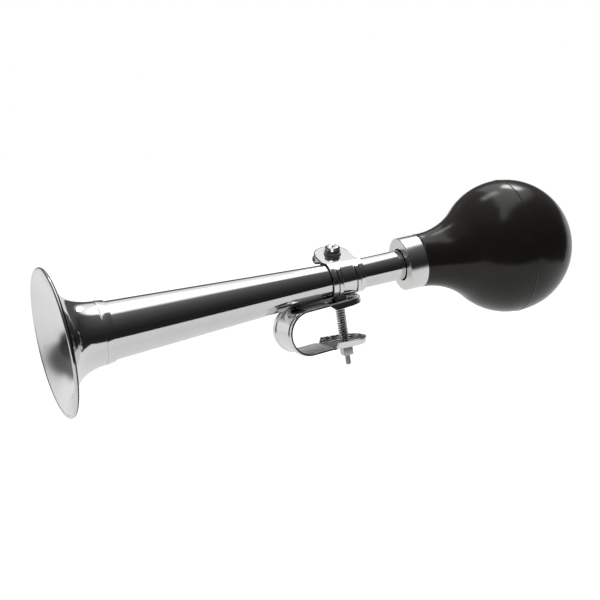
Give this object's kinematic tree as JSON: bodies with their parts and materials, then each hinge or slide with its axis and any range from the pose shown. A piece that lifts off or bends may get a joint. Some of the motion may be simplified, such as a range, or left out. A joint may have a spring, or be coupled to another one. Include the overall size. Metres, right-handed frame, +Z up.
{
  "type": "bulb air horn",
  "caption": "Bulb air horn: flared bell on a tapered tube, with a reed unit, a rubber bulb and a pinch ring and loop strap for a handlebar.",
  "frame": {"origin": "centre of the handlebar that the strap's loop holds", "axes": "+X along the horn from the bell to the bulb, +Z up from the handlebar to the horn, +Y to the horn's left seen from the bulb"},
  "size_m": [0.2931, 0.078, 0.0859],
  "materials": {
    "nickel_bell": "bright nickel or chrome plate on spun brass, satin inside the flare",
    "nickel_tube": "bright plate on drawn tube",
    "nickel_ferrule": "bright plate, satin front face",
    "nickel_bracket": "bright plate on pressed steel",
    "bright_steel": "plated steel",
    "spring_steel": "plated spring wire",
    "reed_brass": "plain turned brass",
    "black_rubber": "satin black moulded rubber"
  },
  "bodies": {
    "strap": {"handlebar_strap": "nickel_bracket", "spacer_spring": "spring_steel"},
    "bracket": {"pinch_ring": "nickel_bracket", "pinch_washer": "bright_steel", "long_screw": "bright_steel"},
    "horn": {"bell": "nickel_bell", "taper_tube": "nickel_tube", "tail_tube": "nickel_tube", "reed_block": "reed_brass", "reed_shallot": "reed_brass", "reed_wedge": "reed_brass", "ferrule": "nickel_ferrule", "bulb": "black_rubber"},
    "tongue": {"reed_tongue": "reed_brass"},
    "pinch_screw": {"pinch_screw": "bright_steel"},
    "square_nut": {"square_nut": "bright_steel"}
  },
  "joints": [
    {"name": "bracket_swivel", "type": "hinge", "parent": "strap", "child": "bracket", "pos_m": [0.0244, 0.00317, 0], "axis": [0, 0, 1], "range_deg": [-52.6, 67.4]},
    {"name": "tube_turn", "type": "hinge", "parent": "bracket", "child": "horn", "pos_m": [0.0244, 0.00317, 0.02229], "axis": [1, 0, 0], "continuous": true},
    {"name": "tongue_flex", "type": "hinge", "parent": "horn", "child": "tongue", "pos_m": [0.0815, 0.00317, 0.02387], "axis": [0, 1, 0], "range_deg": [-0.5, 2], "stiffness_Nm_per_rad": 0.1},
    {"name": "pinch_screw_turn", "type": "hinge", "parent": "bracket", "child": "pinch_screw", "pos_m": [0.0271, 0.0142, 0.02553], "axis": [0.0528, -0.2753, 0.9599], "continuous": true},
    {"name": "square_nut_turn", "type": "hinge", "parent": "bracket", "child": "square_nut", "pos_m": [0.0244, 0.00317, -0.0165], "axis": [0, 0, 1], "continuous": true}
  ]
}
